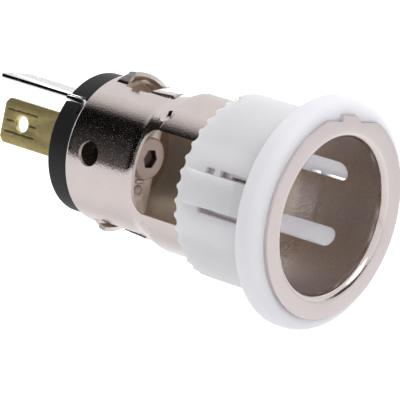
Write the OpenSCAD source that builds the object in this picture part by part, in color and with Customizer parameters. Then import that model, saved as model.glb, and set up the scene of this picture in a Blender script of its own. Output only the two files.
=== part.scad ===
// Twelve volt power socket for a car: a drawn and plated steel barrel in a white snap-in collar,
// with a black moulded cap, a centre contact and two blade terminals at its back.
// +Z is up and the mouth faces -Y. The origin is on the barrel's axis, in the plane of the
// collar's seat, where the back of its flange meets the panel.
// Inside the modules, x is +X, y is +Z, and z is the distance forward of the barrel's floor.

/* [Barrel] */
// Thickness of the drawn sheet
sheet = 0.55; // [0.5:0.05:0.7]
// Inside diameter of the barrel at the mouth
bore_d = 21.45; // [21:0.05:21.6]
// Inside diameter of the narrower cup behind the cone
cup_bore_d = 19.66; // [19.4:0.02:19.8]
// Length from the floor's back face to the mouth
barrel_len = 39.2; // [38:0.1:42]
// Length of the cup, from the floor's back face
cup_len = 11.6; // [11.3:0.1:12]
// Length of the cone that joins the cup to the barrel
cone_len = 3.2; // [2.8:0.1:3.6]
// How much the bore's radius narrows from the mouth's straight land back to the cone
draft = 0.06; // [0.02:0.01:0.12]
// Outer radius of the drawn corner at the floor
floor_r = 0.8; // [0.7:0.05:1.2]

/* [Mouth flange] */
// Diameter of the turned-out steel flange
flange_d = 27.9; // [27.5:0.1:28.4]
// Radius of the rounded lip between the bore and the flange
lip_r = 1.1; // [1:0.05:1.4]
// Height of the flat on the flange above the axis
flat_h = 12.9; // [12.7:0.05:13.1]
// Width of the key that stands on the flat
key_w = 2.9; // [2.4:0.1:3.4]
// Height of the key
key_h = 0.85; // [0.6:0.05:1]
// How far the foot of the key slopes out on its +X side
key_slope = 1.2; // [0.8:0.1:1.5]
// Where the middle of the key's top lies, along X
key_x = -1.15; // [-1.6:0.05:-0.8]

/* [Side windows and spring fingers] */
// Distance of each side window from the floor's back face
window_start = 12.65; // [12.2:0.05:13]
// Height of each side window
window_h = 11.6; // [11:0.1:12.2]
// Radius of the window's two rear corners
window_r = 2.3; // [1.8:0.1:2.8]
// Width of the spring finger between the two slots
finger_w = 6.6; // [6:0.1:7]
// Distance of the slots' round ends behind the mouth
slot_to_mouth = 6.5; // [6.2:0.1:7.2]
// Straight length of the finger from the slots' ends to its bend
finger_root = 5; // [4.5:0.1:5.5]
// Length of the finger from its bend to its free end
finger_len = 4.7; // [4:0.1:5]
// Angle at which the finger bends into the bore
finger_angle = 10; // [6:1:12]

/* [Side hole] */
// Diameter of the round hole near the floor on the -X side
hole_d = 3.45; // [3:0.05:3.8]
// Distance of the hole's centre from the floor's back face
hole_at = 4.3; // [3.9:0.05:4.6]

/* [Hoods and tongues] */
// Half width of the hoods and of the openings under them
hood_w = 4.2; // [4:0.1:4.4]
// Distance of the opening's rear end from the floor's back face
hood_start = 3.5; // [3.2:0.1:3.7]
// Distance of the hoods' free edges from the floor's back face
hood_end = 4.7; // [4.4:0.1:5]
// Height of the upper hood's crown above the axis
hood_top = 11.65; // [11.2:0.05:11.9]
// Depth of the lower hood's crown below the axis
hood_low = 10.7; // [10.5:0.05:11]
// Distance of the crowns from the middle, towards -X
hood_x = 3.2; // [2.8:0.1:3.4]
// Radius across the hoods
hood_r = 11; // [10:0.5:13]
// Radius of the hoods' bow along the axis
hood_bow_r = 3.5; // [3.2:0.1:3.8]
// Slope of the closed side behind each hood's opening
cheek_angle = 60; // [50:5:70]
// Width of the slits beside the tongues
slit_w = 0.5; // [0.3:0.05:0.7]
// Width of the tongues in front of the hoods
tongue_w = 7.6; // [7.2:0.1:7.8]
// Distance of the tongues' free edges from the floor's back face
tongue_free = 7.7; // [7.3:0.1:8.1]
// Distance of the tongues' roots from the floor's back face
tongue_end = 11.2; // [10.8:0.1:11.2]
// Radius to which the tongues are flattened
flat_r = 16; // [14:0.5:20]
// Angle at which the tongues lean into the cup
lean_angle = 4; // [2:1:7]

/* [Dimples] */
// Diameter of each dimple in the cone
dimple_d = 2.3; // [1.9:0.1:2.4]
// Depth of each dimple
dimple_depth = 0.45; // [0.35:0.05:0.5]
// Angle of the dimples from the top and bottom
dimple_angle = 46; // [43:0.5:47]
// Distance of the dimples in front of the cup's end
dimple_run = 2.6; // [2:0.1:2.7]

/* [Collar] */
// Gap between the barrel and the collar
collar_gap = 0.12; // [0.08:0.02:0.25]
// Wall of the collar's sleeve
collar_wall = 1.35; // [1.2:0.05:1.6]
// Length of the sleeve behind the panel seat
sleeve_len = 12.8; // [12:0.1:13.2]
// Diameter of the collar's flange
collar_flange_d = 31.86; // [31:0.1:33]
// Depth of the collar's flange, from the seat to the steel flange's back
seat_depth = 3.75; // [3.4:0.05:4]
// How far the collar's rim stands in front of the steel flange's back
rim_h = 0.1; // [0.05:0.05:0.3]
// Radius of the flange's front edge
front_round = 2; // [1.6:0.1:2.2]
// Radius of the flange's back edge
back_round = 0.9; // [0.5:0.1:1]
// Gap around the steel flange in its recess
recess_gap = 0.08; // [0.05:0.01:0.2]
// Number of scallops around the sleeve's rear edge
scallop_count = 40; // [32:1:44]
// Radius of each scallop
scallop_r = 0.9; // [0.8:0.05:1]
// Depth of each scallop
scallop_depth = 0.45; // [0.3:0.05:0.6]

/* [Collar snap fingers and tab] */
// Width of the snap finger on each side of the sleeve
snap_w = 4.5; // [4:0.1:5]
// Height of the snap finger's middle above the axis
snap_at = 0.45; // [0:0.05:0.8]
// Width of the slots beside the snap finger
snap_slot_w = 0.85; // [0.6:0.05:1]
// Distance of the slots' rear ends from the sleeve's rear edge
slot_inset = 3.8; // [3.2:0.1:4.2]
// Length of the slots
snap_slot_len = 7.4; // [7:0.1:7.8]
// Length of the small bridge that ties the upper slot
bridge_len = 0.8; // [0.5:0.1:1]
// How far the snap bump stands out of the sleeve
bump_h = 0.3; // [0.2:0.05:0.4]
// Distance of the bump's front end from the sleeve's rear edge
bump_reach = 9.4; // [8.6:0.1:9.6]
// Length of the ramp behind the snap bump
ramp_len = 2; // [1.6:0.1:2.4]
// Angle from the top to the notch on each side of the plain tab
tab_angle = 19.5; // [17:0.5:22]
// Depth of those two notches
tab_notch = 0.9; // [0.7:0.1:1.4]

/* [Rear cap] */
// Gap between the cap's rim and the outside of the steel cup
cap_step = 0.5; // [0.4:0.01:0.7]
// Height of the cap behind the floor
cap_h = 3.4; // [3.2:0.05:3.8]
// Diameter of the hub that carries the centre contact
hub_d = 8.8; // [8:0.1:9.2]
// Gap between the hub and the hole in the floor
hub_gap = 0.1; // [0.05:0.05:0.2]
// Length of the hub in front of the floor's back face
hub_len = 4.6; // [4.3:0.1:4.8]
// Depth of the cap's material between the floor and the nut's pocket
web = 0.9; // [0.8:0.05:1.1]
// Clearance around the terminals in their slots
slot_gap = 0.2; // [0.1:0.05:0.3]
// Clearance around the feet of the terminal and the rivets
foot_gap = 0.05; // [0.03:0.01:0.1]
// Edge radius of the cap
cap_edge_r = 0.4; // [0.2:0.05:0.6]

/* [Centre contact] */
// Shank diameter of the contact screw
shank_d = 3; // [2.8:0.1:3.2]
// Clearance of the screw in its holes
shank_gap = 0.1; // [0.05:0.05:0.2]
// Diameter of the screw's head
head_d = 5.9; // [5.4:0.1:6.4]
// Height of the screw's head
head_h = 1.2; // [1:0.1:1.4]
// Width across the flats of the hexagon socket
socket_af = 2.5; // [2:0.1:2.6]
// Depth of the hexagon socket
socket_depth = 0.9; // [0.6:0.1:0.9]
// Edge radius of the screw's head
head_edge_r = 0.2; // [0.1:0.05:0.3]
// How far the screw's end stands out of the nut
screw_end = 0.4; // [0.2:0.1:0.8]
// Thickness of the insulating washer
insulator_t = 0.5; // [0.4:0.05:0.7]
// Margin of the insulating washer outside its rivets
insulator_margin = 0.1; // [0.05:0.05:0.3]
// Thickness of the contact strip
strip_t = 0.4; // [0.3:0.05:0.5]
// Width of the contact strip
strip_w = 5.6; // [5:0.1:6]
// Clearance between the strip's ends and the cup's wall
strip_clear = 1.6; // [1.4:0.1:2]
// Radius of the two pressed ribs beside the screw's head
rib_r = 0.35; // [0.25:0.05:0.4]
// Length of the pressed ribs
rib_len = 1.6; // [1.2:0.1:2]
// Diameter of the rivets' shanks
rivet_d = 1; // [0.8:0.05:1.1]
// Diameter of the rivets' domed heads
rivet_head_d = 1.8; // [1.5:0.1:2]
// Height of the rivets' domed heads
rivet_head_h = 0.55; // [0.4:0.05:0.7]
// Gap between the screw's head, the ribs and the rivets
rivet_gap = 0.1; // [0.05:0.05:0.2]
// Thickness of the rivets' flat heads behind the insulating washer
rivet_foot_h = 0.3; // [0.2:0.05:0.4]

/* [Power terminal] */
// Width of both blades
blade_w = 6.3; // [6.2:0.05:6.4]
// Thickness of the power blade
power_t = 0.8; // [0.75:0.05:0.85]
// Distance of the power blade's tip behind the floor's back face
power_reach = 17; // [16:0.1:18]
// Distance of the power blade's middle from the axis, towards -X
power_x = 4; // [3.8:0.05:4.2]
// Diameter of the hole through the power blade
tab_hole_d = 2.3; // [2:0.05:2.5]
// Distance of that hole from the blade's tip
tab_hole_at = 3.6; // [3.2:0.1:4.2]
// Chamfer at the corners of the blades' tips
tip_chamfer = 0.7; // [0.5:0.1:1.1]
// Width of the clamping foot of the power terminal
foot_w = 6.6; // [6.4:0.1:6.8]

/* [Ground terminal] */
// Thickness of the ground terminal
ground_t = 0.6; // [0.5:0.05:0.7]
// Distance of the ground blade's tip behind the floor's back face
ground_reach = 17.5; // [16:0.1:18.5]
// Height of the ground blade's middle above the axis
ground_z = 6.15; // [6:0.05:6.4]
// Distance of the ground blade's middle from the axis, towards -X
ground_x = 3.35; // [3.1:0.05:3.5]
// Width of the ground terminal's root inside the cap
root_w = 9.3; // [9:0.1:9.4]
// Width of the relief slots between the blade and its root's ears
relief_w = 0.6; // [0.4:0.05:0.8]
// Length of the relief slots
relief_len = 1.9; // [1.5:0.1:2.2]
// Height of the foot that lies on the steel floor
ground_foot_h = 1.2; // [1:0.1:1.2]

/* [Nut and lock washer] */
// Width across the nut's flats
nut_af = 5.5; // [5.2:0.1:5.6]
// Thickness of the nut
nut_h = 1.8; // [1.6:0.1:2]
// Thickness of the lock washer
lock_t = 0.5; // [0.4:0.05:0.6]
// Outside diameter of the lock washer
lock_d = 5.6; // [5.2:0.1:5.8]
// Width of the split in the lock washer
lock_gap = 0.5; // [0.3:0.1:0.8]
// Clearance between the screw and the nut
thread_gap = 0.03; // [0.02:0.01:0.05]

/* [Hidden] */
$fn = 96;
tiny = 0.01;
overlap = 0.4;

// Radii of the steel barrel
bore_r = bore_d / 2;
barrel_r = bore_r + sheet;
cup_bore_r = cup_bore_d / 2;
cup_r = cup_bore_r + sheet;
cone_end = cup_len + cone_len;
flange_r = flange_d / 2;
flange_back = barrel_len - sheet;

// Collar, from the barrel's sizes
collar_bore_r = barrel_r + collar_gap;
sleeve_r = collar_bore_r + collar_wall;
collar_flange_r = collar_flange_d / 2;
seat_at = flange_back - seat_depth;
sleeve_back = seat_at - sleeve_len;
rim_front = flange_back + rim_h;

// Side windows and the steel fingers between their slots
side_slot_w = (window_h - finger_w) / 2;
slot_reach = barrel_len - slot_to_mouth;
bend_at = slot_reach - finger_root;
land_at = slot_reach + sheet / 2;

// Tongues and dimples
dimple_at = cup_len + dimple_run;
dimple_wall_r = cup_r + (barrel_r - cup_r) * dimple_run / cone_len;
dimple_ball_r = (pow(dimple_d / 2, 2) + pow(dimple_depth, 2)) / (2 * dimple_depth);

// Rear cap and what stacks up on the screw
cap_r = cup_r - cap_step;
hub_r = hub_d / 2;
floor_hole_r = hub_r + hub_gap;
insulator_front = hub_len + insulator_t;
strip_front = insulator_front + strip_t;
head_front = strip_front + head_h;
shank_r = shank_d / 2;
shank_hole_r = shank_r + shank_gap;
foot_back = -web - power_t;
lock_back = foot_back - lock_t;
nut_back = lock_back - nut_h;
power_face = power_x - power_t / 2;
pocket_r = foot_w / 2 + slot_gap;
rib_at = head_d / 2 + rib_r + rivet_gap;
rivet_at = rib_at + rib_r + rivet_gap + rivet_head_d / 2;
insulator_r = rivet_at + rivet_head_d / 2 + insulator_margin;
strip_reach = cup_bore_r - strip_clear;
rivet_r = rivet_d / 2;
rivet_hole_r = rivet_r + shank_gap;
rivet_dome_r = (pow(rivet_head_d / 2, 2) + pow(rivet_head_h, 2)) / (2 * rivet_head_h);

// Ground terminal
ground_top = ground_z + ground_t / 2;
ground_bottom = ground_z - ground_t / 2;
ground_left = -ground_x - root_w / 2;
ground_right = -ground_x + root_w / 2;

// Puts a shape that is drawn along the axis into the part's own frame
module place() {
    rotate([90, 0, 0])
        translate([0, 0, -seat_at])
            children();
}

// Two copies, the second mirrored across the plane x = 0
module both_sides() {
    children();
    mirror([1, 0, 0])
        children();
}

// Two copies, the second mirrored across the plane y = 0
module top_and_bottom() {
    children();
    mirror([0, 1, 0])
        children();
}

// A box from its two corners
module span(low, high) {
    translate(low)
        cube(high - low);
}

// A rectangle whose corner at the high end of both axes is rounded
module rounded_corner(w, h, r) {
    difference() {
        square([w, h]);
        translate([w - r, h - r])
            difference() {
                square([r + tiny, r + tiny]);
                circle(r = r);
            }
    }
}

// Half section of the drawn cup's solid, out to the radius r and rounded at the floor
module cup_section(r, from, corner) {
    translate([0, cup_len])
        mirror([0, 1])
            rounded_corner(r, cup_len - from, corner);
}

// Half section of the barrel's outside
module barrel_outside() {
    cup_section(cup_r, 0, floor_r);
    polygon([[0, cup_len], [cup_r, cup_len], [barrel_r - draft, cone_end], [barrel_r, land_at],
        [0, land_at]]);
    translate([0, land_at])
        square([barrel_r, barrel_len - land_at]);
    translate([0, flange_back])
        square([flange_r, sheet]);
    difference() {
        translate([0, flange_back - lip_r + sheet])
            square([bore_r + lip_r, lip_r - sheet]);
        translate([bore_r + lip_r, flange_back - lip_r + sheet])
            circle(r = lip_r - sheet);
    }
}

// Half section of the barrel's inside
module barrel_inside() {
    cup_section(cup_bore_r, sheet, floor_r - sheet);
    polygon([[0, cup_len - tiny], [cup_bore_r, cup_len - tiny], [cup_bore_r, cup_len],
        [bore_r - draft, cone_end], [bore_r, land_at], [0, land_at]]);
    translate([0, land_at])
        square([bore_r, barrel_len - land_at + tiny]);
    difference() {
        translate([0, barrel_len - lip_r])
            square([bore_r + lip_r, lip_r + tiny]);
        translate([bore_r + lip_r, barrel_len - lip_r])
            circle(r = lip_r);
    }
    square([floor_hole_r, 2 * sheet + tiny]);
    translate([0, -tiny])
        square([floor_hole_r, sheet]);
}

// The drawn sheet before anything is cut in it
module drawn_sheet() {
    rotate_extrude()
        difference() {
            barrel_outside();
            barrel_inside();
        }
}

// A piece of tube wall on the +X side, between two distances along the axis
module wall_piece(outer_r, from, to, width) {
    intersection() {
        translate([0, 0, from])
            difference() {
                cylinder(r = outer_r, h = to - from);
                translate([0, 0, -tiny])
                    cylinder(r = outer_r - sheet, h = to - from + 2 * tiny);
            }
        span([0, -width / 2, from - tiny], [outer_r + tiny, width / 2, to + tiny]);
    }
}

// Outline of a side window and its two slots, seen along X: distance forward, height
module window_outline() {
    translate([window_start + window_r, -window_h / 2])
        square([bend_at - window_start - window_r, window_h]);
    translate([window_start, window_r - window_h / 2])
        square([window_r + tiny, window_h - 2 * window_r]);
    for (side = [-1, 1]) {
        translate([window_start + window_r, side * (window_h / 2 - window_r)])
            circle(r = window_r);
        translate([bend_at - tiny, side * (window_h - side_slot_w) / 2 - side_slot_w / 2])
            square([finger_root - side_slot_w / 2 + tiny, side_slot_w]);
        translate([slot_reach - side_slot_w / 2, side * (window_h - side_slot_w) / 2])
            circle(r = side_slot_w / 2);
    }
}

// Both side windows, cut through the whole barrel along X
module side_windows() {
    rotate([0, -90, 0])
        translate([0, 0, -barrel_r - 1])
            linear_extrude(2 * barrel_r + 2)
                window_outline();
}

// The steel finger on the +X side, bent into the bore behind its root
module bent_finger() {
    translate([barrel_r - sheet / 2, 0, bend_at])
        rotate([0, finger_angle, 0])
            translate([sheet / 2 - barrel_r, 0, -bend_at])
                intersection() {
                    drawn_sheet();
                    span([0, -finger_w / 2, bend_at - finger_len],
                        [barrel_r + 1, finger_w / 2, bend_at + overlap]);
                }
}

// The opening under a hood and round its tongue, on top of the cup
module tongue_opening() {
    span([-hood_w - slit_w / 2, cup_bore_r / 2, hood_start],
        [hood_w - slit_w, cup_r + 1, tongue_free]);
    span([-tongue_w / 2 - slit_w, cup_bore_r / 2, hood_end],
        [tongue_w / 2 + slit_w, cup_r + 1, tongue_end]);
}

// The bowed body of a hood whose crown has this height, less a margin
module hood_body(top, margin) {
    translate([-hood_x, top - hood_r, 0])
        rotate_extrude()
            intersection() {
                translate([hood_r - hood_bow_r, hood_end])
                    circle(r = hood_bow_r - margin);
                translate([0, sheet / 2])
                    square([hood_r + 1, hood_end]);
            }
}

// What lies outside the sloped side of a hood, behind its opening, grown by a margin
module beside_cheek(margin) {
    translate([-hood_w - slit_w / 2, cup_bore_r - 1, 0])
        rotate([0, 0, cheek_angle])
            span([-cup_r, -margin, -tiny], [cup_r, cup_r, hood_start]);
}

// A hood on top of the cup: it rises from the back and both sides, and its front edge is free
module hood(top) {
    difference() {
        intersection() {
            hood_body(top, 0);
            span([-hood_w, cup_r / 2, 0], [hood_w + slit_w, top + 1, hood_end]);
        }
        translate([0, 0, -1])
            cylinder(r = cup_bore_r, h = hood_end + 2);
        beside_cheek(0);
        difference() {
            hood_body(top, sheet);
            beside_cheek(sheet);
        }
    }
}

// The tongue in front of a hood: rooted in front, flattened, and leaning into the cup
module tongue() {
    hinge_y = cup_r - sheet / 2;
    translate([0, hinge_y, tongue_end])
        rotate([-lean_angle, 0, 0])
            translate([0, cup_r - flat_r - hinge_y, -tongue_end])
                rotate([0, 0, 90])
                    wall_piece(flat_r, tongue_free, tongue_end + overlap, tongue_w);
}

// Places its children where the four dimples are
module at_dimples() {
    for (side = [-1, 1], half = [0, 180])
        rotate([0, 0, 90 + half + side * dimple_angle])
            translate([dimple_wall_r + dimple_ball_r - dimple_depth, 0, dimple_at])
                children();
}

// Outline of the steel flange with its flat and key, grown by a gap all round
module flange_outline(gap) {
    intersection() {
        circle(r = flange_r + gap);
        translate([-flange_r - 1, -flange_r - 1])
            square([2 * flange_r + 2, flange_r + 1 + flat_h + gap]);
    }
    polygon([
        [key_x - key_w / 2 - gap, flat_h - 1],
        [key_x - key_w / 2 - gap, flat_h + key_h + gap],
        [key_x + key_w / 2 + gap, flat_h + key_h + gap],
        [key_x + key_w / 2 + key_slope + gap, flat_h + gap],
        [key_x + key_w / 2 + key_slope + gap, flat_h - 1]]);
}

module socket_shell() {
    color("silver")
        place() {
            difference() {
                union() {
                    drawn_sheet();
                    intersection() {
                        at_dimples()
                            sphere(r = dimple_ball_r + sheet);
                        rotate_extrude()
                            barrel_outside();
                    }
                }
                at_dimples()
                    sphere(r = dimple_ball_r);
                difference() {
                    span([-flange_r, flat_h, flange_back - tiny], [flange_r, flange_r + 1, barrel_len + tiny]);
                    translate([0, 0, flange_back - 1])
                        linear_extrude(sheet + 2)
                            flange_outline(0);
                }
                side_windows();
                top_and_bottom()
                    tongue_opening();
                translate([-cup_r - 1, 0, hole_at])
                    rotate([0, 90, 0])
                        cylinder(d = hole_d, h = cup_r + 1);
            }
            both_sides()
                bent_finger();
            top_and_bottom()
                tongue();
            hood(hood_top);
            mirror([0, 1, 0])
                hood(hood_low);
        }
}

// Half section of the collar's flange, from the seat forward
module collar_flange_section() {
    depth = rim_front - seat_at;
    intersection() {
        rounded_corner(collar_flange_r, depth, front_round);
        translate([0, depth])
            mirror([0, 1])
                rounded_corner(collar_flange_r, depth, back_round);
    }
}

// The snap finger's slots on the +X side, with the bridge that ties the upper one
module snap_slots() {
    from = sleeve_back + slot_inset;
    for (side = [-1, 1])
        difference() {
            span([collar_bore_r - 1, snap_at + side * (snap_w + snap_slot_w) / 2 - snap_slot_w / 2, from],
                [sleeve_r + 1, snap_at + side * (snap_w + snap_slot_w) / 2 + snap_slot_w / 2,
                    from + snap_slot_len]);
            if (side > 0)
                span([0, 0, from + 2 * bridge_len], [sleeve_r + 2, sleeve_r, from + 3 * bridge_len]);
        }
}

// The bump of the snap finger on the +X side, outside the sleeve
module snap_bump() {
    rotate([90, 0, 0])
        translate([0, 0, -snap_at - snap_w / 2])
            linear_extrude(snap_w)
                polygon([
                    [collar_bore_r + collar_wall / 2, sleeve_back + ramp_len / 2],
                    [sleeve_r, sleeve_back + ramp_len / 2],
                    [sleeve_r + bump_h, sleeve_back + ramp_len],
                    [sleeve_r + bump_h, sleeve_back + ramp_len + 1],
                    [sleeve_r, sleeve_back + bump_reach],
                    [collar_bore_r + collar_wall / 2, sleeve_back + bump_reach]]);
}

// One scallop in the sleeve's rear edge, at an angle from +X, to a depth
module scallop(angle, depth) {
    rotate([0, 0, angle])
        translate([collar_bore_r - 1, 0, sleeve_back + depth - scallop_r])
            rotate([0, 90, 0])
                cylinder(r = scallop_r, h = collar_wall + 3, $fn = 32);
}

// The row of scallops, left out on the plain tab at the top
module scallops() {
    for (i = [0:scallop_count - 1]) {
        angle = 360 * (i + 0.5) / scallop_count;
        if (abs(angle - 90) > tab_angle)
            scallop(angle, scallop_depth);
    }
    for (side = [-1, 1])
        scallop(90 + side * tab_angle, tab_notch);
}

module light_collar() {
    color("ghostwhite")
        place()
            difference() {
                union() {
                    translate([0, 0, sleeve_back])
                        cylinder(r = sleeve_r, h = sleeve_len + tiny);
                    translate([0, 0, seat_at])
                        rotate_extrude()
                            collar_flange_section();
                    both_sides()
                        snap_bump();
                }
                translate([0, 0, sleeve_back - 1])
                    cylinder(r = collar_bore_r, h = barrel_len);
                translate([0, 0, flange_back - lip_r + sheet])
                    cylinder(r1 = collar_bore_r, r2 = collar_bore_r + lip_r, h = lip_r);
                translate([0, 0, flange_back])
                    linear_extrude(2)
                        flange_outline(recess_gap);
                both_sides()
                    snap_slots();
                scallops();
            }
}

// The ground terminal's slot and the recess for its foot, open on the cap's -X side
module ground_slot() {
    span([-cap_r - 1, ground_bottom - slot_gap, -cap_h - 1],
        [ground_right + slot_gap, ground_top + slot_gap, tiny]);
    span([-cap_r - 1, ground_bottom - ground_foot_h - slot_gap, -ground_t - foot_gap],
        [ground_right + slot_gap, ground_top + slot_gap, tiny]);
}

// The pocket at the cap's back, for the nut, the lock washer and the power terminal's foot
module nut_pocket() {
    translate([0, 0, -cap_h - 1])
        cylinder(r = pocket_r, h = cap_h + 1 - web);
    span([-power_x - power_t / 2 - slot_gap, -pocket_r, -cap_h - 1], [0, pocket_r, -web]);
}

module rear_cap() {
    color("dimgray")
        place()
            difference() {
                union() {
                    mirror([0, 0, 1])
                        rotate_extrude()
                            rounded_corner(cap_r, cap_h, cap_edge_r);
                    translate([0, 0, -web / 2])
                        cylinder(r = hub_r, h = hub_len + web / 2);
                }
                translate([0, 0, -cap_h])
                    cylinder(r = shank_hole_r, h = cap_h + hub_len + 1);
                top_and_bottom()
                    translate([0, rivet_at, hub_len - rivet_foot_h - foot_gap])
                        cylinder(r = rivet_head_d / 2 + foot_gap, h = 1);
                nut_pocket();
                ground_slot();
            }
}

module contact_screw() {
    color("lightgray")
        place()
            difference() {
                union() {
                    translate([0, 0, strip_front])
                        rotate_extrude()
                            rounded_corner(head_d / 2, head_h, head_edge_r);
                    translate([0, 0, nut_back - screw_end])
                        cylinder(r = shank_r, h = strip_front + screw_end - nut_back + tiny);
                }
                translate([0, 0, head_front - socket_depth])
                    cylinder(d = socket_af / cos(30), h = socket_depth + 1, $fn = 6);
            }
}

module contact_strip() {
    color("silver")
        place() {
            translate([0, 0, insulator_front])
                linear_extrude(strip_t)
                    difference() {
                        intersection() {
                            circle(r = strip_reach);
                            square([strip_w, 2 * strip_reach + 2], center = true);
                        }
                        circle(r = shank_hole_r);
                        for (side = [-1, 1])
                            translate([0, side * rivet_at])
                                circle(r = rivet_hole_r);
                    }
            top_and_bottom()
                intersection() {
                    translate([-rib_len / 2, rib_at, strip_front])
                        rotate([0, 90, 0])
                            cylinder(r = rib_r, h = rib_len);
                    span([-rib_len, 0, strip_front - tiny], [rib_len, cup_bore_r, head_front]);
                }
        }
}

module strip_rivets() {
    color("gainsboro")
        place()
            top_and_bottom()
                translate([0, rivet_at, 0]) {
                    translate([0, 0, hub_len - rivet_foot_h])
                        cylinder(r = rivet_head_d / 2, h = rivet_foot_h);
                    translate([0, 0, hub_len - rivet_foot_h / 2])
                        cylinder(r = rivet_r, h = strip_front - hub_len + rivet_foot_h / 2 + tiny);
                    intersection() {
                        translate([0, 0, strip_front + rivet_head_h - rivet_dome_r])
                            sphere(r = rivet_dome_r);
                        translate([0, 0, strip_front])
                            cylinder(r = rivet_head_d / 2 + 1, h = rivet_head_h + 1);
                    }
                }
}

module insulating_washer() {
    color("saddlebrown")
        place()
            translate([0, 0, hub_len])
                linear_extrude(insulator_t)
                    difference() {
                        circle(r = insulator_r);
                        circle(r = shank_hole_r);
                        for (side = [-1, 1])
                            translate([0, side * rivet_at])
                                circle(r = rivet_hole_r);
                    }
}

// Outline of a blade from its tip, which lies on y = 0, to the height h, with a chamfered tip
module blade_outline(h) {
    polygon([[tip_chamfer - blade_w / 2, 0], [blade_w / 2 - tip_chamfer, 0],
        [blade_w / 2, tip_chamfer], [blade_w / 2, h], [-blade_w / 2, h], [-blade_w / 2, tip_chamfer]]);
}

// What rounds the outside of a bend in sheet of thickness t, drawn along +Y about the bend's centre
module bend_corner(t, w) {
    translate([0, w / 2, 0])
        rotate([90, 0, 0])
            linear_extrude(w)
                difference() {
                    translate([-t - tiny, 0])
                        square([t + tiny, t + tiny]);
                    circle(r = t);
                }
}

module power_blade() {
    color("darkgoldenrod")
        place()
            difference() {
                union() {
                    translate([-power_face - power_t, 0, -power_reach])
                        rotate([90, 0, 90])
                            linear_extrude(power_t)
                                difference() {
                                    blade_outline(power_reach - web);
                                    translate([0, tab_hole_at])
                                        circle(d = tab_hole_d);
                                }
                    translate([0, 0, foot_back])
                        linear_extrude(power_t)
                            difference() {
                                union() {
                                    circle(d = foot_w);
                                    translate([-power_face - power_t, -blade_w / 2])
                                        square([power_face + power_t, blade_w]);
                                }
                                circle(r = shank_hole_r);
                            }
                }
                translate([-power_face, 0, foot_back])
                    bend_corner(power_t, foot_w + 1);
            }
}

module ground_blade() {
    color("silver")
        place()
            difference() {
                union() {
                    translate([-ground_x, ground_top, -ground_reach])
                        rotate([90, 0, 0])
                            linear_extrude(ground_t)
                                difference() {
                                    union() {
                                        blade_outline(ground_reach);
                                        translate([-root_w / 2, ground_reach - cap_h])
                                            square([root_w, cap_h]);
                                    }
                                    for (side = [-1, 1])
                                        translate([side * (blade_w + relief_w) / 2 - relief_w / 2,
                                                ground_reach - cap_h - 1])
                                            square([relief_w, relief_len + 1]);
                                }
                    span([ground_left, ground_bottom - ground_foot_h, -ground_t],
                        [ground_right, ground_top, 0]);
                }
                translate([-ground_x, ground_bottom, -ground_t])
                    rotate([0, 0, -90])
                        bend_corner(ground_t, root_w + 1);
            }
}

module lock_washer() {
    color("gainsboro")
        place()
            translate([0, 0, lock_back])
                linear_extrude(lock_t)
                    difference() {
                        circle(d = lock_d);
                        circle(r = shank_hole_r);
                        translate([0, -lock_gap / 2])
                            square([lock_d, lock_gap]);
                    }
}

module clamp_nut() {
    color("silver")
        place()
            translate([0, 0, nut_back])
                difference() {
                    cylinder(d = nut_af / cos(30), h = nut_h, $fn = 6);
                    translate([0, 0, -1])
                        cylinder(r = shank_r + thread_gap, h = nut_h + 2);
                }
}

socket_shell();
light_collar();
rear_cap();
contact_screw();
contact_strip();
strip_rivets();
insulating_washer();
power_blade();
ground_blade();
lock_washer();
clamp_nut();
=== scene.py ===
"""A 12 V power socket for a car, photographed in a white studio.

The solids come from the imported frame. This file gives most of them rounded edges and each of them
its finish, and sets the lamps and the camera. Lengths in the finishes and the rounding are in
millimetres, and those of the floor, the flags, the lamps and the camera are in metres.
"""
import math
import bmesh
import bpy
from mathutils import Matrix, Vector

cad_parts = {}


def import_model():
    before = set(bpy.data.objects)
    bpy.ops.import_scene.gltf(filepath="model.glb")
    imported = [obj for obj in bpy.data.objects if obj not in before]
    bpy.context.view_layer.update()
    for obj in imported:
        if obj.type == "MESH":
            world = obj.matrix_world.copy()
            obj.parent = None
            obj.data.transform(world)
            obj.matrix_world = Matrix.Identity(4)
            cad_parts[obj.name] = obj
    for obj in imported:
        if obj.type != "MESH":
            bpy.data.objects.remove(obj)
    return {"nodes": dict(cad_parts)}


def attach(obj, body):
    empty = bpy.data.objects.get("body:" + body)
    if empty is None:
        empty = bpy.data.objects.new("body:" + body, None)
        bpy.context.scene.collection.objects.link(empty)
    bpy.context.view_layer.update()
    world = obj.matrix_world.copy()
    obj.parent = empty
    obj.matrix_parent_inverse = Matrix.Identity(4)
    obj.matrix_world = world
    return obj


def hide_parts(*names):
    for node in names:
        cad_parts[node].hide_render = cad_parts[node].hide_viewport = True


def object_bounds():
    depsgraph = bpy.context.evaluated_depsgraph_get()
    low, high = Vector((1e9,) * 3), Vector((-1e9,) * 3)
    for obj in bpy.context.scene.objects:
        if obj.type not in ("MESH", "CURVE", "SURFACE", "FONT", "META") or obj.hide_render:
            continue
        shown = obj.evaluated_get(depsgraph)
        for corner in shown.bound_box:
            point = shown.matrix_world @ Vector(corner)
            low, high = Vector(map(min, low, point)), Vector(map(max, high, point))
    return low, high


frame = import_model()
cad_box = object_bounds()
MM = 0.001

# Places along Y: the mouth's plane, the end of its rounded lip, the end of the plain bore, the
# cone's deep end, the front of the screw's head and the inside of the steel floor
MOUTH = cad_box[0][1] / MM
LIP_END = MOUTH + 1.7
BORE_END = 12
CUP_FROM = 23.3
HEAD = 28.2
FLOOR_INSIDE = 33.8

# The cup's outer radius, beyond which only the hoods stand out at the back
CUP_OUTSIDE = 10.5

# How bright the white studio is where it lights the part, and where metal mirrors it
WORLD_LIGHT = 0.59
WORLD_MIRRORED = 0.87

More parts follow.
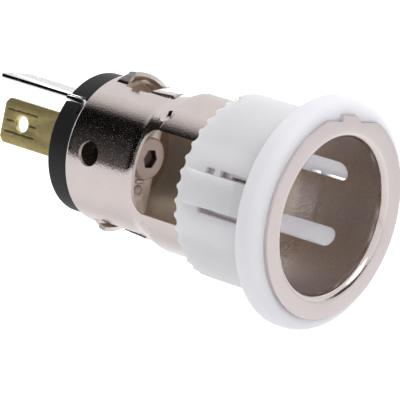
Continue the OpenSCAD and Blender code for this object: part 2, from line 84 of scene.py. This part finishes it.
# Three grooves pressed into the power blade, and the middle and radius of its hole
GROOVE_FROM = 45.4
GROOVE_TO = 51.5
GROOVE_PITCH = 1.57
GROOVE_MIDDLE = 0.1
GROOVE_HALF = 0.22
HOLE_AT = 48.3
HOLE_RADIUS = 1.15

# The rough radius of the screw's hexagon socket, and how fast the turned rings of its head follow
# each other, in radians to a millimetre
HEX_RADIUS = 1.4
RINGS = 52

# Half the width of the studio's floor, and its height against the part's axis, in metres
FLOOR_HALF = 3
FLOOR_HEIGHT = -0.05

# Corners nearer to each other than this are one corner, in metres
SAME = 0.0005 * MM

# Edges bent by more than SHARP are rounded, those over SMOOTH stay creases, and bends under FLAT go
SHARP = math.radians(28)
SMOOTH = math.radians(30)
FLAT = math.radians(0.4)

# How far, as a sine, a wall's face may lean from its round and still get the round's own normals
ROUND_WALL = 0.06


def tint(red, green, blue):
    """A colour written as 0 to 255 on a screen, as the linear values that Blender keeps."""
    values = []
    for value in (red, green, blue):
        value /= 255
        values.append(value / 12.92 if value <= 0.04045 else ((value + 0.055) / 1.055) ** 2.4)
    return (*values, 1)


class Wire:
    """A socket that gives a value. Arithmetic on it adds Math nodes."""

    def __init__(self, nodes, socket):
        self.nodes = nodes
        self.socket = socket

    def maths(self, operation, *values):
        return self.nodes.node("ShaderNodeMath", {"operation": operation}, dict(enumerate(values)))

    def __add__(self, other):
        return self.maths("ADD", self, other)

    __radd__ = __add__

    def __sub__(self, other):
        return self.maths("SUBTRACT", self, other)

    def __rsub__(self, other):
        return self.maths("SUBTRACT", other, self)

    def __mul__(self, other):
        return self.maths("MULTIPLY", self, other)

    __rmul__ = __mul__

    def size(self):
        return self.maths("ABSOLUTE", self)

    def root(self):
        return self.maths("SQRT", self)

    def wave(self):
        return self.maths("SINE", self)

    def either(self, other):
        return self.maths("MAXIMUM", self, other)

    def ramp(self, low, high):
        """0 below low and 1 above high, smooth in between. low may be the larger one."""
        return self.nodes.node("ShaderNodeMapRange", {"interpolation_type": "SMOOTHSTEP"},
                               {"Value": self, "From Min": low, "From Max": high})


class Nodes:
    """The nodes of one material, or of the world."""

    def __init__(self, owner):
        owner.use_nodes = True
        self.owner = owner
        self.tree = owner.node_tree
        self.tree.nodes.clear()

    def node(self, kind, settings, inputs, output=0):
        made = self.tree.nodes.new(kind)
        for name, value in settings.items():
            setattr(made, name, value)
        for name, value in inputs.items():
            if isinstance(value, Wire):
                self.tree.links.new(value.socket, made.inputs[name])
            else:
                made.inputs[name].default_value = value
        return Wire(self, made.outputs[output])

    def closed(self, shader, kind="ShaderNodeOutputMaterial"):
        output = self.tree.nodes.new(kind)
        self.tree.links.new(shader.socket, output.inputs["Surface"])
        return self.owner


class Finish(Nodes):
    """A material in the part's own frame, in millimetres."""

    def __init__(self, name):
        super().__init__(bpy.data.materials.new(name))
        coordinates = self.node("ShaderNodeTexCoord", {}, {}, "Object")
        self.place = self.node("ShaderNodeVectorMath", {"operation": "SCALE"},
                               {0: coordinates, "Scale": 1 / MM})
        self.x = self.node("ShaderNodeSeparateXYZ", {}, {0: self.place}, "X")
        self.y = self.node("ShaderNodeSeparateXYZ", {}, {0: self.place}, "Y")
        self.z = self.node("ShaderNodeSeparateXYZ", {}, {0: self.place}, "Z")

    def along(self, x, y, z):
        """The place, stretched by a factor along each axis."""
        return self.node("ShaderNodeVectorMath", {"operation": "MULTIPLY"},
                         {0: self.place, 1: (x, y, z)})

    def cloud(self, per_mm, detail=2, rough=0.5, place=None):
        """Noise with so many blobs to a millimetre, from 0 to 1."""
        return self.node("ShaderNodeTexNoise", {}, {"Vector": place or self.place, "Scale": per_mm,
                                                    "Detail": detail, "Roughness": rough})

    def mix(self, part, low, high):
        return self.node("ShaderNodeMix", {"data_type": "RGBA"}, {0: part, 6: low, 7: high}, 2)

    def facing(self):
        """How far the surface faces out from the barrel's axis, from -1 to 1."""
        normal = self.node("ShaderNodeNewGeometry", {}, {}, "Normal")
        outward = self.along(1, 0, 1)
        outward = self.node("ShaderNodeVectorMath", {"operation": "NORMALIZE"}, {0: outward})
        return self.node("ShaderNodeVectorMath", {"operation": "DOT_PRODUCT"},
                         {0: normal, 1: outward}, "Value")

    def from_axis(self):
        return (self.x * self.x + self.z * self.z).root()

    def bump(self, height, depth):
        """A normal from a height of 0 to 1 that stands for so many millimetres."""
        return self.node("ShaderNodeBump", {},
                         {"Height": height, "Strength": 1.0, "Distance": depth * MM})

    def done(self, color, roughness, normal, **fixed):
        shader = self.node("ShaderNodeBsdfPrincipled", {},
                           {"Base Color": color, "Roughness": roughness, "Normal": normal,
                            **{name.replace("_", " "): value for name, value in fixed.items()}})
        return self.closed(shader)


def nickel_plate():
    """Nickel on drawn steel: fine grain outside, a rough bore painted a darker brown-grey as its
    shade, a satin cup painted paler and warmer as the light inside it.
    """
    finish = Finish("nickel_plate")
    patches = finish.cloud(0.3, 4)
    lines = finish.cloud(2.2, 3, 0.6, finish.along(1, 0.06, 1))
    grain = finish.cloud(4.2, 2, 0.6)
    facing = finish.facing()
    inside = (0 - facing).ramp(0.35, 0.7)
    bore = inside * finish.y.ramp(BORE_END, BORE_END - 3) * finish.y.ramp(LIP_END - 0.6, LIP_END)
    face = finish.y.ramp(MOUTH + 0.1, MOUTH + 0.02)
    cut = (1 - facing.size().ramp(0.35, 0.75)) * (1 - face)
    color = finish.mix(patches, tint(227, 216, 214), tint(216, 205, 203))
    # Painted shade: the bore is coloured a darker brown-grey, mixed by the grain.
    color = finish.mix(bore, color, finish.mix(grain, tint(168, 158, 154), tint(218, 206, 201)))
    deep = inside * (1 - bore) * finish.y.ramp(LIP_END, LIP_END + 0.8)
    # Painted light: deeper in the cup the colour is paler and warmer.
    color = finish.mix(deep, color, finish.mix(grain, tint(226, 212, 196), tint(236, 224, 210)))
    # Painted highlight: the sheet's cut faces, and other faces that don't face round the axis, are
    # painted paler.
    color = finish.mix(cut * 0.5, color, tint(240, 236, 232))
    color = finish.mix(face, color, tint(221, 210, 210))
    pits = finish.cloud(5.5, 2).ramp(0.56, 0.7) * (1 - inside) * (1 - face)
    pits = pits * (0.3 + 0.7 * finish.z.ramp(7, 2))
    wall = finish.y.ramp(MOUTH + 2, MOUTH + 3) * finish.y.ramp(FLOOR_INSIDE, FLOOR_INSIDE - 0.4)
    edge = cut * wall * finish.z.size().ramp(9, 8)
    hood = finish.from_axis().ramp(CUP_OUTSIDE, CUP_OUTSIDE + 0.3)
    hood = hood * finish.y.ramp(CUP_FROM, CUP_FROM + 0.7)
    front = finish.y.ramp(BORE_END - 3, BORE_END - 8)
    roughness = 0.08 + 0.03 * patches + 0.03 * grain + 0.14 * face + 0.4 * deep
    roughness = roughness + bore * (0.02 + 0.24 * front) + 0.22 * pits + 0.3 * hood.either(edge)
    normal = finish.bump(grain * (0.55 + 2.0 * bore - 0.2 * deep - 0.3 * face) + lines * 0.03, 0.03)
    return finish.done(color, roughness, normal, Metallic=1.0)


def tinned_steel():
    """Bright tin on the ground terminal, with faint rolling lines and small dull spots."""
    finish = Finish("tinned_steel")
    lines = finish.cloud(3, 3, 0.6, finish.along(1, 0.05, 1))
    grain = finish.cloud(5, 3, 0.6)
    spots = finish.cloud(1.6, 2).ramp(0.62, 0.75)
    color = finish.mix(lines, tint(240, 240, 240), tint(226, 226, 228))
    color = finish.mix(spots * 0.3, color, tint(190, 190, 192))
    roughness = 0.07 + 0.05 * grain + 0.1 * spots
    normal = finish.bump(grain * 0.4 + lines * 0.4, 0.008)
    return finish.done(color, roughness, normal, Metallic=1.0)


def white_moulding():
    """Translucent white plastic with a fine spark-eroded skin and soft flow marks."""
    finish = Finish("white_moulding")
    flow = finish.cloud(0.16, 3, 0.5, finish.along(1, 0.4, 1))
    skin = finish.cloud(5, 3, 0.6)
    color = finish.mix(flow, tint(229, 228, 238), tint(238, 237, 245))
    roughness = 0.36 + 0.12 * flow + 0.06 * skin
    normal = finish.bump(skin * 0.6 + flow * 2, 0.006)
    return finish.done(color, roughness, normal, IOR=1.5, Subsurface_Weight=0.9,
                       Subsurface_Radius=(1.0, 1.0, 1.05), Subsurface_Scale=4.5 * MM)


def black_moulding():
    """Black moulded plastic with a matt grain and a little dust."""
    finish = Finish("black_moulding")
    grain = finish.cloud(4, 3, 0.6)
    patches = finish.cloud(0.5, 3)
    dust = finish.cloud(3.2, 1).ramp(0.74, 0.82)
    color = finish.mix(patches, tint(7, 7, 9), tint(15, 15, 17))
    color = finish.mix(dust * 0.2, color, tint(96, 96, 98))
    roughness = 0.44 + 0.16 * grain
    return finish.done(color, roughness, finish.bump(grain, 0.014), IOR=1.45)


def dull_brass():
    """Mottled stamped brass, with three shallow grooves and a smoother rim at the blade's hole that
    is painted paler as a highlight.
    """
    finish = Finish("dull_brass")
    mottle = finish.cloud(1.1, 4, 0.65)
    drag = finish.cloud(1.4, 2, 0.6, finish.along(4, 0.12, 1.6))
    stain = finish.cloud(2.6, 3, 0.6, finish.along(1, 0.3, 1)).ramp(0.5, 0.72)
    grain = finish.cloud(5, 2)
    length = finish.y.ramp(GROOVE_FROM, GROOVE_FROM + 0.5)
    length = length * finish.y.ramp(GROOVE_TO, GROOVE_TO - 0.5)
    wander = (finish.cloud(0.9, 2) - 0.5) * 0.25
    groove = 0
    for place in (-GROOVE_PITCH, 0, GROOVE_PITCH):
        away = (finish.z + wander - GROOVE_MIDDLE - place).size()
        groove = away.ramp(GROOVE_HALF, GROOVE_HALF - 0.14).either(groove)
    groove = groove * length * finish.cloud(2.2, 1, 0.5, finish.along(1, 0.5, 0.1)).ramp(0.1, 0.45)
    color = finish.mix(mottle, tint(218, 204, 148), tint(176, 160, 104))
    color = finish.mix(drag.ramp(0.55, 0.75) * 0.4, color, tint(126, 112, 70))
    color = finish.mix(stain * 0.35, color, tint(140, 128, 98))
    color = finish.mix(groove * 0.75, color, tint(52, 42, 22))
    from_hole = ((finish.y - HOLE_AT) * (finish.y - HOLE_AT) + finish.z * finish.z).root()
    # Painted highlight: a paler, smoother rim round the blade's hole.
    hole_rim_highlight = from_hole.ramp(HOLE_RADIUS + 0.35, HOLE_RADIUS + 0.05)
    color = finish.mix(hole_rim_highlight * 0.7, color, tint(246, 234, 168))
    roughness = 0.36 + 0.2 * mottle + 0.1 * grain - 0.2 * hole_rim_highlight
    normal = finish.bump(drag * 0.5 + grain * 0.5 - groove * 2.5, 0.03)
    return finish.done(color, roughness, normal, Metallic=1.0)


def turned_steel():
    """Turned and plated steel: fine rings round the axis, a warm skin, painted shade in the hexagon
    socket.
    """
    finish = Finish("turned_steel")
    rings = (finish.from_axis() * RINGS).wave() * 0.5 + 0.5
    grain = finish.cloud(6, 3, 0.6)
    patches = finish.cloud(0.7, 3)
    color = finish.mix(patches, tint(206, 190, 183), tint(184, 168, 161))
    color = finish.mix(grain.ramp(0.62, 0.8) * 0.3, color, tint(140, 128, 122))
    # Painted shade: the hexagon socket is coloured dark.
    socket = finish.from_axis().ramp(HEX_RADIUS + 0.2, HEX_RADIUS)
    socket = socket * finish.y.ramp(HEAD + 0.05, HEAD + 0.3)
    color = finish.mix(socket * 0.8, color, tint(70, 56, 50))
    roughness = 0.36 + 0.14 * grain
    return finish.done(color, roughness, finish.bump(rings * 0.4 + grain, 0.01), Metallic=1.0)


def pressed_board():
    """Brown pressed board with paper fibres."""
    finish = Finish("pressed_board")
    fibres = finish.cloud(3, 4, 0.7, finish.along(1, 3, 0.3))
    patches = finish.cloud(0.8, 3)
    color = finish.mix(patches, tint(124, 98, 76), tint(100, 78, 60))
    color = finish.mix(fibres.ramp(0.5, 0.75) * 0.5, color, tint(150, 124, 98))
    roughness = 0.55 + 0.2 * fibres
    return finish.done(color, roughness, finish.bump(fibres, 0.02), IOR=1.5)


def slice_along(work, step):
    """Cuts long faces across the barrel's axis, so that their shading stays local."""
    places = [vert.co.y for vert in work.verts]
    for i in range(1, int((max(places) - min(places)) / step) + 1):
        everything = work.verts[:] + work.edges[:] + work.faces[:]
        bmesh.ops.bisect_plane(work, geom=everything, dist=SAME, plane_no=(0, 1, 0),
                               plane_co=(0, min(places) + i * step, 0))


def true_normals(mesh):
    """Turns the normals of faces that lie round the barrel's axis exactly towards or from it."""
    normals = [corner.vector.copy() for corner in mesh.corner_normals]
    for face in mesh.polygons:
        across = Vector((face.center.z, 0, -face.center.x)).normalized()
        if abs(face.normal.dot(across)) > ROUND_WALL:
            continue
        for corner in face.loop_indices:
            place = mesh.vertices[mesh.loops[corner].vertex_index].co
            across = Vector((place.z, 0, -place.x)).normalized()
            normal = normals[corner]
            normals[corner] = (normal - across * normal.dot(across)).normalized()
    mesh.normals_split_custom_set(normals)


def rounded(node, material, radius, step=0):
    """A copy of a node's solid with its edges rounded, which stands for the node.

    With a step its long faces are cut into lengths, so that a round wall is shaded truly.
    """
    name = node + "_rounded"
    made = bpy.data.objects.new(name, bpy.data.meshes.new(name))
    bpy.context.scene.collection.objects.link(made)
    work = bmesh.new()
    work.from_mesh(frame["nodes"][node].data)
    bmesh.ops.remove_doubles(work, verts=work.verts, dist=SAME)
    bmesh.ops.dissolve_limit(work, angle_limit=FLAT, verts=work.verts, edges=work.edges)
    if radius:
        edges = [e for e in work.edges if e.is_manifold and e.calc_face_angle() > SHARP]
        bmesh.ops.bevel(work, geom=edges, offset=radius * MM, segments=2, profile=0.5,
                        affect="EDGES", clamp_overlap=True)
    bmesh.ops.triangulate(work, faces=[f for f in work.faces if len(f.verts) > 4])
    if step:
        slice_along(work, step * MM)
    for face in work.faces:
        face.smooth = True
    for edge in work.edges:
        edge.smooth = not (edge.is_manifold and edge.calc_face_angle() > SMOOTH)
    work.to_mesh(made.data)
    work.free()
    if step:
        true_normals(made.data)
    made.data.materials.append(material)
    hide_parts(node)
    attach(made, "root")


def pale_floor():
    """A plain pale floor that shows as white to the camera and keeps the shadow."""
    finish = Finish("pale_floor")
    cloudy = finish.cloud(0.01, 2)
    diffuse = finish.node("ShaderNodeBsdfDiffuse", {},
                          {"Color": finish.mix(cloudy, (0.8, 0.8, 0.8, 1), (0.82, 0.82, 0.82, 1))})
    seen = finish.node("ShaderNodeLightPath", {}, {}, "Is Camera Ray")
    none = finish.node("ShaderNodeEmission", {}, {"Strength": 0.0})
    glow = finish.node("ShaderNodeEmission", {}, {"Strength": 0.5})
    lit = finish.node("ShaderNodeMixShader", {}, {0: seen, 1: none, 2: glow})
    return finish.closed(finish.node("ShaderNodeAddShader", {}, {0: diffuse, 1: lit}))


def black_flag():
    """The flags' cloth: black, but grey low down and pale at the top except far behind the part.

    Its places are in millimetres, as in every finish.
    """
    finish = Finish("black_flag")
    low = finish.z.ramp(95, -60) * finish.y.ramp(170, 150)
    high = finish.z.ramp(124, 153) * finish.y.ramp(260, 180)
    color = finish.mix(low, tint(16, 15, 15), tint(84, 81, 79))
    color = finish.mix(high, color, tint(240, 237, 235))
    return finish.closed(finish.node("ShaderNodeBsdfDiffuse", {}, {"Color": color}))


def stage_sheet(name, corners, faces, material):
    """A sheet that is stage and no part of the socket."""
    mesh = bpy.data.meshes.new(name)
    mesh.from_pydata(corners, [], faces)
    made = bpy.data.objects.new(name, mesh)
    made.data.materials.append(material)
    bpy.context.scene.collection.objects.link(made)
    return made


def flag_round(name, material, distance, angles, start, end, first_at_end=None):
    """A flag bent round the barrel's axis, from one angle to another (0 is +X and 90 is up).

    It reaches from start to end along Y, and may begin at another angle at its end. Only metal
    mirrors it, which gives the dark bands that the photograph shows in the plating.
    """
    first, last = angles
    steps = 16
    corners = []
    for i in range(steps + 1):
        for place, lowest in ((start, first), (end, first_at_end or first)):
            angle = math.radians(lowest + (last - lowest) * i / steps)
            corners.append((distance * math.cos(angle), place, distance * math.sin(angle)))
    faces = [(i, i + 1, i + 3, i + 2) for i in range(0, 2 * steps, 2)]
    made = stage_sheet(name, corners, faces, material)
    made.visible_camera = False
    made.visible_diffuse = False
    made.visible_shadow = False


def area_lamp(name, place, target, side, power, mirrored=False):
    """A square lamp that the camera doesn't see, and that metal mirrors only where asked."""
    lamp = bpy.data.lights.new(name, "AREA")
    lamp.shape = "SQUARE"
    lamp.size = side
    lamp.energy = power
    made = bpy.data.objects.new(name, lamp)
    bpy.context.scene.collection.objects.link(made)
    made.rotation_euler = (Vector(place) - Vector(target)).to_track_quat("Z", "Y").to_euler()
    made.location = place
    made.visible_glossy = mirrored
    made.visible_camera = False


def camera():
    """The camera of the photograph, 0.53 m away with a long lens."""
    lens = bpy.data.cameras.new("camera")
    lens.sensor_width = 36
    lens.lens = 360.2
    lens.clip_start = 0.05
    lens.clip_end = 20
    made = bpy.data.objects.new("camera", lens)
    bpy.context.scene.collection.objects.link(made)
    turn = Matrix(((0.623702, -0.007905, -0.781623), (-0.757002, 0.243085, -0.606513),
                   (0.194795, 0.969973, 0.145628))).to_4x4()
    made.matrix_world = Matrix.Translation((-0.42316, -0.30997, 0.07555)) @ turn
    bpy.context.scene.camera = made


def world():
    """White all round: full strength to the camera, less where it lights or is mirrored."""
    nodes = Nodes(bpy.data.worlds.new("studio"))
    mirrored = nodes.node("ShaderNodeLightPath", {}, {}, "Is Glossy Ray")
    seen = nodes.node("ShaderNodeLightPath", {}, {}, "Is Camera Ray")
    lighting, mirror, white_out = [
        nodes.node("ShaderNodeBackground", {}, {"Color": (1, 1, 1, 1), "Strength": level})
        for level in (WORLD_LIGHT, WORLD_MIRRORED, 1.0)]
    around = nodes.node("ShaderNodeMixShader", {}, {0: mirrored, 1: lighting, 2: mirror})
    around = nodes.node("ShaderNodeMixShader", {}, {0: seen, 1: around, 2: white_out})
    bpy.context.scene.world = nodes.closed(around, "ShaderNodeOutputWorld")


camera()
world()
bpy.context.scene.view_settings.view_transform = "Standard"
bpy.context.scene.cycles.glossy_bounces = 10

plate = nickel_plate()
white = white_moulding()
dark = black_moulding()
brass = dull_brass()
steel = turned_steel()
board = pressed_board()
tin = tinned_steel()

rounded("socket_shell", plate, radius=0, step=0.6)
rounded("light_collar", white, radius=0.1, step=1)
rounded("rear_cap", dark, radius=0.15, step=1)
rounded("contact_screw", steel, radius=0.06)
rounded("contact_strip", plate, radius=0.05)
rounded("strip_rivets", steel, radius=0)
rounded("insulating_washer", board, radius=0.05)
rounded("power_blade", brass, radius=0.08)
rounded("ground_blade", tin, radius=0.03)
rounded("lock_washer", steel, radius=0.06)
rounded("clamp_nut", steel, radius=0.1)

floor_corners = [(x * FLOOR_HALF, y * FLOOR_HALF, FLOOR_HEIGHT)
                 for x, y in ((-1, -1), (1, -1), (1, 1), (-1, 1))]
stage_sheet("floor", floor_corners, [(0, 1, 2, 3)], pale_floor())
black = black_flag()
flag_round("dark_flag", black, distance=0.15, angles=(97, 209), start=0.09, end=0.42,
           first_at_end=78)
flag_round("front_flag", black, distance=0.16, angles=(15, 80), start=-0.46, end=-0.13)
area_lamp("key_lamp", (-0.12, -0.62, 0.75), target=(0, 0, 0), side=0.46, power=3.1, mirrored=True)
area_lamp("terminal_lamp", (0.2, 0.204, 0.043), target=(0, 0.057, 0.006), side=0.05, power=0.015,
          mirrored=True)
area_lamp("top_lamp", (0.2, 0.3, 0.9), target=(0, 0.01, 0), side=0.8, power=3)
area_lamp("side_lamp", (0.5, 0.1, 0.1), target=(0, 0.01, 0), side=0.3, power=1.2)
